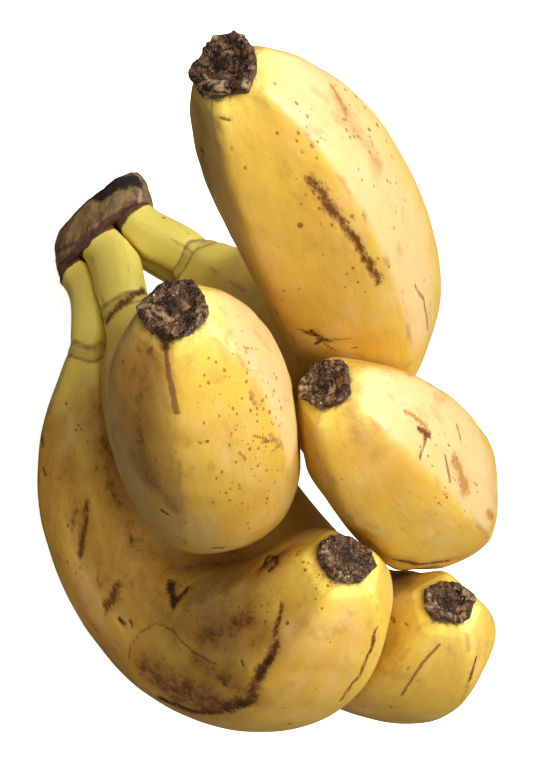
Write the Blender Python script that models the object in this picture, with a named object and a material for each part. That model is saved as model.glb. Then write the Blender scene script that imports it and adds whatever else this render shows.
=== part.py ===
"""A hand of five short, plump bananas that grow from one cut crown, lying on a surface.

The hand is laid out in a frame of its own, in millimetres: x to the right along the crown,
y up towards the cut face, z towards the tips. It is then turned to the way it lies and
moved so that the origin is at the bottom centre of its box.
"""

from dataclasses import dataclass
from math import cos, pi, radians, sin

import bmesh
import bpy
import numpy as np
from mathutils import Matrix, Vector

MM = 0.001
GAP = 0.3

# Crown: the pad of stem tissue, cut off flat on one side
CROWN_FOOT = Vector((-40.5, 35.0, -52.0))
CROWN_LONG_AXIS = Vector((0.74, 0.67, 0.0))
CROWN_GROWTH_AXIS = Vector((0.62, -0.70, 0.33))
CROWN_LONG = 28.0
CROWN_DEEP = 24.0
CROWN_TALL = 11.0
CROWN_LEAN = 0.5
CROWN_CUT_SLOPE = 0.25
CROWN_SQUARENESS = 2.6
CROWN_SIDES = 32

# Rings and sides of each fruit's skin
STALK_RINGS = 7
FRUIT_RINGS = 26
SIDES_PER_FACET = 4
FACETS = 5
SPINE_STEPS = 120
STALK_STEPS = 24

# Half the width along the fruit, as shares of its length and of its fullest half width
FRUIT_OUTLINE = (
    (0.04, 0.38), (0.09, 0.56), (0.15, 0.74), (0.23, 0.88), (0.34, 0.96),
    (0.46, 1.00), (0.58, 1.01), (0.70, 0.99), (0.80, 0.93), (0.88, 0.80), (0.94, 0.61),
    (0.98, 0.42), (1.00, 0.30),
)
# How sharp the five ridges are, along the fruit
RIDGE_SHARPNESS = ((0.0, 6.0), (0.25, 7.0), (0.55, 5.5), (0.85, 7.0), (1.0, 9.0))
SHOULDER_AT = 0.06

# Dried flower scar: how far it stands out, and half its width as a share of the tip's
SCAR_OUTLINE = ((0.5, 0.98), (1.4, 1.03), (2.6, 0.98), (3.1, 0.84), (2.5, 0.62), (2.2, 0.34))
SCAR_KNOB = 3.0
SCAR_LOBES = 0.09

# How the bend spreads along a fruit, and how softly a neighbour presses into it
BEND_SPREAD = 0.32
BEND_FLOOR = 0.12
PRESS_SOFTNESS = 0.5

# How the hand lies, in degrees: on the crown and the backs of two fruits
LYING_TURN = (2.1, -30.3, 90.0)
REST_FLAT_DEPTH = 0.5


@dataclass
class Fruit:
    """One banana: where it leaves its stalk, which way it grows there, and how it bends.

    Lengths are in millimetres and angles in degrees. root is where the stalk grows from the
    crown's underside, along and across it. heading and lift aim the fruit at its neck, roll
    turns the plane that it bends in, and twist turns that plane on the way to the tip.
    bend_at is the share of the length where it bends most. girth is its fullest width, and
    shoulder is how much wider than most it is just past the neck. ridges are the angles of
    the five edges round the fruit, counted from the plane that it bends in.
    """

    root: tuple
    neck: tuple
    heading: float
    lift: float
    roll: float
    bend: float
    bend_at: float
    twist: float
    length: float
    girth: float
    shoulder: float
    stalk_width: float
    ridges: tuple


FRUITS = {
    "banana_a": Fruit(
        root=(9, 4), neck=(-19.5, 32.5, -45), heading=-44, lift=5, roll=20, bend=121,
        bend_at=0.13, twist=38, length=184, girth=35.2, shoulder=0.38, stalk_width=11.5,
        ridges=(-8, 66, 139, 213, 282),
    ),
    "banana_b": Fruit(
        root=(0, 5), neck=(-35, 20, -35), heading=-70, lift=15, roll=17, bend=106,
        bend_at=0.27, twist=29, length=156, girth=35.8, shoulder=0.05, stalk_width=12.5,
        ridges=(-32, 43, 112, 184, 254),
    ),
    "banana_c": Fruit(
        root=(8, -5), neck=(-6, 21, -61), heading=-46, lift=-1, roll=-3, bend=128,
        bend_at=0.35, twist=-5, length=168, girth=35.4, shoulder=0.0, stalk_width=11.0,
        ridges=(35, 103, 176, 250, 321),
    ),
    "banana_d": Fruit(
        root=(-9, 4), neck=(-43.4, 10.4, -36), heading=-94, lift=-25, roll=51, bend=152,
        bend_at=0.41, twist=30, length=165, girth=38.6, shoulder=0.0, stalk_width=9.5,
        ridges=(15, 88, 154, 235, 302),
    ),
    "banana_e": Fruit(
        root=(-5, -5), neck=(-30, 9.4, -63), heading=-66, lift=-5, roll=34, bend=120,
        bend_at=0.56, twist=20, length=157.5, girth=35.2, shoulder=0.0, stalk_width=10.5,
        ridges=(3, 78, 142, 223, 290),
    ),
}

COLOURS = {
    "crown": ((0.13, 0.075, 0.045), 0.85),
    "skin": ((0.78, 0.53, 0.09), 0.42),
}


def smooth_through(points, at):
    """Values of a smooth curve without overshoot through (place, value) points."""
    x = np.array([point[0] for point in points], float)
    y = np.array([point[1] for point in points], float)
    step = np.diff(x)
    slope = np.diff(y) / step
    tangent = np.zeros_like(y)
    same_way = slope[:-1] * slope[1:] > 0
    inner = 2 * slope[:-1] * slope[1:] / np.where(same_way, slope[:-1] + slope[1:], 1.0)
    tangent[1:-1] = np.where(same_way, inner, 0.0)
    tangent[0] = slope[0]
    tangent[-1] = slope[-1]
    at = np.clip(at, x[0], x[-1])
    k = np.clip(np.searchsorted(x, at, side="right") - 1, 0, len(step) - 1)
    u = (at - x[k]) / step[k]
    return (
        (1 + 2 * u) * (1 - u) ** 2 * y[k]
        + u * (1 - u) ** 2 * step[k] * tangent[k]
        + u**2 * (3 - 2 * u) * y[k + 1]
        + u**2 * (u - 1) * step[k] * tangent[k + 1]
    )


class Spine:
    """The middle line of one banana from the crown to its tip, with its half width."""

    def __init__(self, fruit):
        heading = radians(fruit.heading)
        lift = radians(fruit.lift)
        roll = radians(fruit.roll)
        aim = Vector((cos(lift) * cos(heading), cos(lift) * sin(heading), sin(lift)))
        level = aim.cross(Vector((0, 0, 1))).normalized()
        hinge = (cos(roll) * level + sin(roll) * level.cross(aim)).normalized()
        neck = Vector(fruit.neck)
        rows = self.stalk_side(neck, aim, hinge, fruit) + self.fruit_side(neck, aim, hinge, fruit)
        self.fruit = fruit
        self.place = np.array([row[0] for row in rows])
        self.point = np.array([row[1][:] for row in rows])
        self.aim = np.array([row[2][:] for row in rows])
        self.hinge = np.array([row[3][:] for row in rows])
        self.half = self.half_widths()

    def half_widths(self):
        """Half the width at each place: the stalk flares a little towards the crown."""
        half = self.fruit.girth / 2
        stalk_half = self.fruit.stalk_width / 2
        back = np.clip(self.place / self.place[0], 0, 1)
        stalk = stalk_half * (1 + 0.10 * back**2)
        outline = ((0.0, stalk_half / half), *FRUIT_OUTLINE)
        share = np.clip(self.place / self.fruit.length, 0, 1)
        past_neck = share / SHOULDER_AT
        swell = 1 + self.fruit.shoulder * past_neck * np.exp(1 - past_neck)
        fruit = half * swell * smooth_through(outline, share)
        return np.where(self.place < 0, stalk, fruit)

    @staticmethod
    def stalk_side(neck, aim, hinge, fruit):
        """Rows of a smooth curve from the crown's underside to the neck."""
        long_axis, deep_axis, growth = crown_frame()
        root = CROWN_FOOT + long_axis * fruit.root[0] + deep_axis * fruit.root[1] + growth * GAP
        pull = (neck - root).length
        share = np.linspace(0, 1, STALK_STEPS + 1)
        points = []
        aims = []
        for u in share:
            points.append(
                root * (1 + 2 * u) * (1 - u) ** 2
                + growth * pull * u * (1 - u) ** 2
                + neck * u * u * (3 - 2 * u)
                + aim * pull * u * u * (u - 1)
            )
            aims.append(
                (
                    (neck - root) * 6 * u * (1 - u)
                    + growth * pull * (1 - u) * (1 - 3 * u)
                    + aim * pull * u * (3 * u - 2)
                ).normalized()
            )
        rows = []
        place = 0.0
        for k in range(STALK_STEPS - 1, -1, -1):
            place -= (points[k + 1] - points[k]).length
            hinge = (hinge - aims[k] * hinge.dot(aims[k])).normalized()
            rows.append((place, points[k], aims[k], hinge))
        return rows[::-1]

    @staticmethod
    def fruit_side(neck, aim, hinge, fruit):
        """Rows from the neck to the tip."""
        middle = (np.arange(SPINE_STEPS) + 0.5) / SPINE_STEPS
        weight = np.exp(-(((middle - fruit.bend_at) / BEND_SPREAD) ** 2)) + BEND_FLOOR
        turns = radians(fruit.bend) * weight / weight.sum()
        twist = radians(fruit.twist) / SPINE_STEPS
        step = fruit.length / SPINE_STEPS
        point = neck.copy()
        rows = [(0.0, point, aim, hinge)]
        for k in range(SPINE_STEPS):
            bent = Matrix.Rotation(turns[k], 3, hinge) @ aim
            point = point + (aim + bent) * step / 2
            aim = bent
            hinge = Matrix.Rotation(twist, 3, aim) @ hinge
            hinge = (hinge - aim * hinge.dot(aim)).normalized()
            rows.append(((k + 1) * step, point, aim, hinge))
        return rows

    def at(self, places):
        """Points, aims, hinges and half widths at places along the spine."""
        def read(values):
            if values.ndim == 1:
                return np.interp(places, self.place, values)
            return np.stack([np.interp(places, self.place, v) for v in values.T], axis=1)

        aim = read(self.aim)
        aim /= np.linalg.norm(aim, axis=1)[:, None]
        hinge = read(self.hinge)
        hinge -= aim * (hinge * aim).sum(1)[:, None]
        hinge /= np.linalg.norm(hinge, axis=1)[:, None]
        return read(self.point), aim, hinge, read(self.half)

    def depth(self, points):
        """How far points are outside this banana's mean round surface."""
        near = np.full(len(points), np.inf)
        for centre, half in zip(self.point[::3], self.half[::3]):
            near = np.minimum(near, np.linalg.norm(points - centre, axis=1) - half)
        return near


def facet_shape(angles, sharpness, ridges):
    """Half width at each angle of a rounded five-sided outline, as a share of its mean."""
    half_facet = np.diff(np.append(ridges, ridges[0] + 2 * pi)) / 2
    normals = ridges + half_facet
    reach = np.cos(angles[:, None] - normals[None]) / np.cos(half_facet)[None]
    outline = (np.clip(reach, 0, None) ** sharpness).sum(1) ** (-1 / sharpness)
    return outline


def round_angles(ridges):
    """Angles round a ring, with a point on each ridge and others evenly between."""
    ends = np.append(ridges, ridges[0] + 2 * pi)
    parts = [np.linspace(a, b, SIDES_PER_FACET, endpoint=False) for a, b in zip(ends, ends[1:])]
    return np.concatenate(parts)


def pressed(points, centres, own_half, others):
    """Points pulled in towards their own middle line where a neighbour presses on them."""
    outward = points - centres
    reach = np.linalg.norm(outward, axis=1)
    free = np.ones(len(points))
    for other in others:
        low = np.zeros(len(points))
        high = np.ones(len(points))
        for _ in range(16):
            middle = (low + high) / 2
            spot = centres + outward * middle[:, None]
            room = other.depth(spot) - (reach * middle - own_half)
            clear = room >= GAP * 1.6
            low = np.where(clear, middle, low)
            high = np.where(clear, high, middle)
        held = np.where(low > 0.9999, 9.0, low)
        blend = -PRESS_SOFTNESS * np.logaddexp(
            -reach * free / PRESS_SOFTNESS, -reach * held / PRESS_SOFTNESS
        )
        free = np.minimum(free, blend / reach)
    return centres + outward * free[:, None]


def fruit_rings(spine, others):
    """Rings of points from the root of the stalk to the scar's edge, then the scar itself."""
    fruit = spine.fruit
    ridges = np.radians(fruit.ridges)
    angles = round_angles(ridges)
    stalk = np.linspace(spine.place[0], 0, STALK_RINGS, endpoint=False)
    share = np.linspace(0, 1, FRUIT_RINGS)
    share = share - 0.5 * np.sin(2 * pi * share) / (2 * pi)
    places = np.concatenate([stalk, share * fruit.length])
    centre, aim, hinge, half = spine.at(places)
    side = np.cross(aim, hinge)
    rings = []
    for k, place in enumerate(places):
        sharpness = smooth_through(RIDGE_SHARPNESS, np.array([place / fruit.length]))[0]
        shape = facet_shape(angles, sharpness, ridges)
        shape = shape / shape.mean()
        if place < 0:
            shape = 1 + (shape - 1) * 0.6
        around = np.cos(angles)[:, None] * hinge[k] + np.sin(angles)[:, None] * side[k]
        points = centre[k] + around * (half[k] * shape)[:, None]
        middle = np.repeat(centre[k][None], len(points), axis=0)
        rings.append(pressed(points, middle, half[k], others))

    tip = half[-1]
    around = np.cos(angles)[:, None] * hinge[-1] + np.sin(angles)[:, None] * side[-1]
    edge = facet_shape(angles, RIDGE_SHARPNESS[-1][1], ridges)
    edge = edge / edge.mean()
    for out, wide in SCAR_OUTLINE:
        lobes = 1 + SCAR_LOBES * np.sin(3 * angles + fruit.twist) * min(1.0, out / 2)
        rings.append(centre[-1] + aim[-1] * out + around * (tip * wide * edge * lobes)[:, None])
    top = centre[-1] + aim[-1] * SCAR_KNOB
    return rings, top


def make_material(name, colour, roughness):
    material = bpy.data.materials.new(name)
    material.use_nodes = True
    shader = material.node_tree.nodes["Principled BSDF"]
    shader.inputs["Base Color"].default_value = (*colour, 1.0)
    shader.inputs["Roughness"].default_value = roughness
    shader.inputs["Metallic"].default_value = 0.0
    return material


def loft(rings, last_point=None):
    """A bmesh skin through closed rings of equal count, with the far end closed."""
    mesh = bmesh.new()
    rows = [[mesh.verts.new(point) for point in ring] for ring in rings]
    count = len(rows[0])
    for lower, upper in zip(rows, rows[1:]):
        for k in range(count):
            after = (k + 1) % count
            mesh.faces.new((lower[k], lower[after], upper[after], upper[k]))
    mesh.faces.new(rows[0][::-1])
    if last_point is None:
        mesh.faces.new(rows[-1])
    else:
        centre = mesh.verts.new(last_point)
        for k in range(count):
            mesh.faces.new((rows[-1][k], rows[-1][(k + 1) % count], centre))
    return mesh


def trim(mesh, point, normal):
    """Cuts away what lies beyond a plane on its normal's side, and closes the cut flat."""
    geometry = list(mesh.verts) + list(mesh.edges) + list(mesh.faces)
    bmesh.ops.bisect_plane(
        mesh, geom=geometry, dist=1e-6, plane_co=point, plane_no=normal, clear_outer=True
    )
    open_edges = [edge for edge in mesh.edges if edge.is_boundary]
    if open_edges:
        bmesh.ops.holes_fill(mesh, edges=open_edges, sides=0)


def make_object(name, mesh, material, collection):
    bmesh.ops.recalc_face_normals(mesh, faces=mesh.faces)
    data = bpy.data.meshes.new(name)
    mesh.to_mesh(data)
    mesh.free()
    data.materials.append(material)
    data.shade_smooth()
    data.set_sharp_from_angle(angle=radians(40))
    made = bpy.data.objects.new(name, data)
    collection.objects.link(made)
    return made


def crown_frame():
    """The crown's long axis, its depth axis and the way that the stalks grow from it."""
    growth = CROWN_GROWTH_AXIS.normalized()
    long_axis = (CROWN_LONG_AXIS - growth * CROWN_LONG_AXIS.dot(growth)).normalized()
    return long_axis, growth.cross(long_axis), growth


def crown_mesh():
    """A rounded pad with a flat underside and a sloping, slightly dished cut face."""
    long_axis, deep_axis, growth = crown_frame()
    turn = np.linspace(0, 2 * pi, CROWN_SIDES, endpoint=False)
    square = 2 / CROWN_SQUARENESS
    across = np.sign(np.cos(turn)) * np.abs(np.cos(turn)) ** square
    along = np.sign(np.sin(turn)) * np.abs(np.sin(turn)) ** square
    wavy = 1 + 0.025 * np.sin(3 * turn + 0.7) + 0.02 * np.sin(5 * turn + 2.0)
    rings = []
    levels = ((0.0, 0.97), (0.12, 1.0), (0.35, 1.02), (0.65, 1.0), (0.88, 0.93), (1.0, 0.82))
    for level, wide in levels:
        x = across * wide * wavy * CROWN_LONG / 2
        y = along * wide * wavy * CROWN_DEEP / 2
        tall = CROWN_TALL * level * (1 - CROWN_CUT_SLOPE * y / (CROWN_DEEP / 2))
        ring = [
            CROWN_FOOT + long_axis * (x[k] + CROWN_LEAN * tall[k]) + deep_axis * y[k]
            - growth * tall[k]
            for k in range(CROWN_SIDES)
        ]
        rings.append(ring)
    return loft(rings)


def fruit_mesh(spine, others):
    rings, top = fruit_rings(spine, others)
    return loft(rings, top)


def lying_matrix(objects):
    """The turn into the lying pose, the move to the origin, and the change to metres."""
    turn = Matrix.Rotation(radians(LYING_TURN[2]), 4, "Z")
    turn = turn @ Matrix.Rotation(radians(LYING_TURN[1]), 4, "Y")
    turn = turn @ Matrix.Rotation(radians(LYING_TURN[0]), 4, "X")
    points = np.array([(turn @ v.co)[:] for made in objects for v in made.data.vertices])
    low = points.min(0)
    high = points.max(0)
    middle = Vector(((low[0] + high[0]) / 2, (low[1] + high[1]) / 2, low[2] + REST_FLAT_DEPTH))
    return Matrix.Scale(MM, 4) @ Matrix.Translation(-middle) @ turn


def lay_down(objects):
    """Turns and scales every mesh into place, and flattens what touches the surface."""
    place = lying_matrix(objects)
    for made in objects:
        mesh = bmesh.new()
        mesh.from_mesh(made.data)
        mesh.transform(place)
        trim(mesh, Vector((0, 0, 0)), Vector((0, 0, -1)))
        mesh.to_mesh(made.data)
        mesh.free()
    return place


def build():
    for old in list(bpy.data.objects):
        bpy.data.objects.remove(old, do_unlink=True)
    collection = bpy.data.collections.new("hand_of_bananas")
    bpy.context.scene.collection.children.link(collection)
    bark = make_material("crown", *COLOURS["crown"])
    made = [make_object("crown", crown_mesh(), bark, collection)]
    spines = {name: Spine(fruit) for name, fruit in FRUITS.items()}
    for name, spine in spines.items():
        others = [other for key, other in spines.items() if key != name]
        skin = make_material(name, *COLOURS["skin"])
        made.append(make_object(name, fruit_mesh(spine, others), skin, collection))
    return lay_down(made)


placed = build()
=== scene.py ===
"""Looks of a hand of five plump, ridged bananas: peel, dried blossom ends and corky crown.

The fruits and the crown repeat the part's own named values and formulas in its layout frame,
in millimetres: x to the right, y up towards the cut face, z towards the camera. One matrix
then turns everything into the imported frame, in metres.
"""

from dataclasses import dataclass
from itertools import product
from math import cos, pi, radians, sin

import bmesh
import bpy
import numpy as np
from mathutils import Matrix, Vector
from mathutils.bvhtree import BVHTree


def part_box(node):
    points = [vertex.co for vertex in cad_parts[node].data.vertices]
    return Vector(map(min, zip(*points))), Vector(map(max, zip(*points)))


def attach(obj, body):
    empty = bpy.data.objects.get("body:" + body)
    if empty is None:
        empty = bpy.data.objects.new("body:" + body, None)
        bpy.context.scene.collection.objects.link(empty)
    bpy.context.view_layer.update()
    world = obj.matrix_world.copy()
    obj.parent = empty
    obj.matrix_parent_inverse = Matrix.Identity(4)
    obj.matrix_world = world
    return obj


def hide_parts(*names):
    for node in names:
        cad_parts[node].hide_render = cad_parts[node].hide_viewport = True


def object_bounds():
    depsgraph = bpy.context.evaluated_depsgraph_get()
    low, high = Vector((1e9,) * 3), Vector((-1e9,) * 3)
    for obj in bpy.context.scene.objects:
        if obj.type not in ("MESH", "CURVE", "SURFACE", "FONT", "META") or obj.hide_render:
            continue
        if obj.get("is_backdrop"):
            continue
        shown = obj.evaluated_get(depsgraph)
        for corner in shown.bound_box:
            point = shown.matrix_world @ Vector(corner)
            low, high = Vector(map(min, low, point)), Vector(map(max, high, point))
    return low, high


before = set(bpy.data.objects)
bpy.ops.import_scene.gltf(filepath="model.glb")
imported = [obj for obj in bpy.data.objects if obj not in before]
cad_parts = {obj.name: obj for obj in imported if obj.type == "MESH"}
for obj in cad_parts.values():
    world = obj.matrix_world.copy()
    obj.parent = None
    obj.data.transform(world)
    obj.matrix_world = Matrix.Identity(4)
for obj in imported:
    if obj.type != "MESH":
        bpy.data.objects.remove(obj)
cad_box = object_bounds()

MM = 0.001
GAP = 0.3

# The photograph's view: its size, and a camera on the layout's z axis that looks down it
PHOTO_WIDTH = 540
PHOTO_HEIGHT = 780
CAMERA_AWAY = 391.0
PIXELS_PER_MM = 4.5315
SENSOR_MM = 36.0

# How the hand lies, in degrees
LYING_TURN = (2.1, -30.3, 90.0)

# Crown: the pad of stem tissue, cut off flat on one side
CROWN_FOOT = Vector((-40.5, 35.0, -52.0))
CROWN_LONG_AXIS = Vector((0.74, 0.67, 0.0))
CROWN_GROWTH_AXIS = Vector((0.62, -0.70, 0.33))
CROWN_LONG = 28.0
CROWN_DEEP = 24.0
CROWN_TALL = 11.0
CROWN_LEAN = 0.5
CROWN_CUT_SLOPE = 0.25
CROWN_SQUARENESS = 2.6

# Half the width along a fruit, as shares of its length and of its fullest half width
FRUIT_OUTLINE = (
    (0.04, 0.38), (0.09, 0.56), (0.15, 0.74), (0.23, 0.88), (0.34, 0.96),
    (0.46, 1.00), (0.58, 1.01), (0.70, 0.99), (0.80, 0.93), (0.88, 0.80), (0.94, 0.61),
    (0.98, 0.42), (1.00, 0.30),
)
RIDGE_SHARPNESS = ((0.0, 6.0), (0.25, 7.0), (0.55, 5.5), (0.85, 7.0), (1.0, 9.0))
SHOULDER_AT = 0.06
STALK_FLARE = 0.10
BEND_SPREAD = 0.32
BEND_FLOOR = 0.12
PRESS_SOFTNESS = 0.5
SPINE_STEPS = 120
STALK_STEPS = 24

# The skin's ridges are worn rounder than the solid's: shares of its sharpness, and how much of
# the five sides is left on the stalk
RIDGES_WORN = {"banana_b": 0.62, "banana_d": 0.8}
RIDGES_WORN_ELSE = 0.9
STALK_FACETS = 0.6

# How finely the peel is meshed, and every how many rings and sides neighbours are felt
STALK_RINGS = 46
FRUIT_RINGS = 274
SIDES_PER_FACET = 40
RINGS_CROWDED_AT_ENDS = 0.6
PRESS_STRIDE = 4

# Where neighbours press: the room kept between them in mm, how the place is sought, and the
# share that stands for no neighbour at all
PRESS_ROOM = 1.6 * GAP
PRESS_HALVINGS = 14
PRESS_SPINE_STRIDE = 3
PRESS_SMOOTHINGS = 4
UNPRESSED = 9.0


@dataclass
class Fruit:
    """One banana, with the same values as in the part; millimetres and degrees."""

    root: tuple
    neck: tuple
    heading: float
    lift: float
    roll: float
    bend: float
    bend_at: float
    twist: float
    length: float
    girth: float
    shoulder: float
    stalk_width: float
    ridges: tuple


FRUITS = {
    "banana_a": Fruit(
        root=(9, 4), neck=(-19.5, 32.5, -45), heading=-44, lift=5, roll=20, bend=121,
        bend_at=0.13, twist=38, length=184, girth=35.2, shoulder=0.38, stalk_width=11.5,
        ridges=(-8, 66, 139, 213, 282),
    ),
    "banana_b": Fruit(
        root=(0, 5), neck=(-35, 20, -35), heading=-70, lift=15, roll=17, bend=106,
        bend_at=0.27, twist=29, length=156, girth=35.8, shoulder=0.05, stalk_width=12.5,
        ridges=(-32, 43, 112, 184, 254),
    ),
    "banana_c": Fruit(
        root=(8, -5), neck=(-6, 21, -61), heading=-46, lift=-1, roll=-3, bend=128,
        bend_at=0.35, twist=-5, length=168, girth=35.4, shoulder=0.0, stalk_width=11.0,
        ridges=(35, 103, 176, 250, 321),
    ),
    "banana_d": Fruit(
        root=(-9, 4), neck=(-43.4, 10.4, -36), heading=-94, lift=-25, roll=51, bend=152,
        bend_at=0.41, twist=30, length=165, girth=38.6, shoulder=0.0, stalk_width=9.5,
        ridges=(15, 88, 154, 235, 302),
    ),
    "banana_e": Fruit(
        root=(-5, -5), neck=(-30, 9.4, -63), heading=-66, lift=-5, roll=34, bend=120,
        bend_at=0.56, twist=20, length=157.5, girth=35.2, shoulder=0.0, stalk_width=10.5,
        ridges=(3, 78, 142, 223, 290),
    ),
}


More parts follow.
